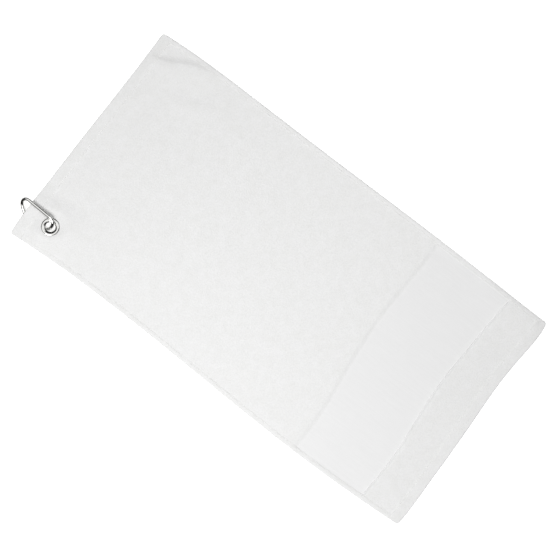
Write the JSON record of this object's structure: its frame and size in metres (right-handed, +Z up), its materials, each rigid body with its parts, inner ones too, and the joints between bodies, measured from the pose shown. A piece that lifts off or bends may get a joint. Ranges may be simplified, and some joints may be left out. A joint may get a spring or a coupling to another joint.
{
  "type": "golf towel",
  "caption": "Rectangular terry golf towel with hemmed edges, a smooth woven border band, a corner eyelet and a spring hook that hangs it from a bag.",
  "frame": {"origin": "middle of the cloth's underside, on the surface that the towel lies on", "axes": "+X along the towel from the eyelet end to the border end, +Y across it away from the eyelet's long edge, +Z up from the surface"},
  "size_m": [0.6143, 0.314, 0.0144],
  "materials": {
    "terry": "cotton terry, looped pile",
    "plain_weave": "cotton plain weave, matt",
    "sewing_thread": "spun polyester thread",
    "eyelet_nickel": "nickel plated brass, polished",
    "hook_nickel": "nickel plated steel wire, polished",
    "spring_steel": "bright spring steel"
  },
  "bodies": {
    "towel": {"terry_field": "terry", "flat_border": "plain_weave", "terry_end_strip": "terry", "eyelet_end_hem": "terry", "border_end_hem": "terry", "long_hem_upper": "terry", "long_hem_lower": "terry", "needle_thread_eyelet_end": "sewing_thread", "bobbin_thread_eyelet_end": "sewing_thread", "needle_thread_border_end": "sewing_thread", "bobbin_thread_border_end": "sewing_thread", "needle_thread_upper": "sewing_thread", "bobbin_thread_upper": "sewing_thread", "needle_thread_lower": "sewing_thread", "bobbin_thread_lower": "sewing_thread", "eyelet_barrel": "eyelet_nickel", "eyelet_washer": "eyelet_nickel"},
    "hook": {"hook_body": "hook_nickel", "gate_rivet": "spring_steel"},
    "gate": {"hook_gate": "hook_nickel", "gate_spring": "spring_steel"},
    "plunger": {"gate_plunger": "spring_steel"}
  },
  "joints": [
    {"name": "hook_swing", "type": "hinge", "parent": "towel", "child": "hook", "pos_m": [-0.2642, -0.1209, 0.00718], "axis": [0, 0, 1], "range_deg": [-16, 18]},
    {"name": "gate_open", "type": "hinge", "parent": "hook", "child": "gate", "pos_m": [-0.27663, -0.12919, 0.00277], "axis": [0, 0.4695, -0.8829], "range_deg": [0, 12], "stiffness_Nm_per_rad": 0.12, "springref_deg": -20.05},
    {"name": "plunger_slide", "type": "slide", "parent": "gate", "child": "plunger", "axis": [-0.9984, -0.0497, -0.0264], "range_m": [0, 0.0004]}
  ],
  "couplings": [
    {"joint": "plunger_slide", "follows": "gate_open", "m_per_rad": 0.0018}
  ]
}
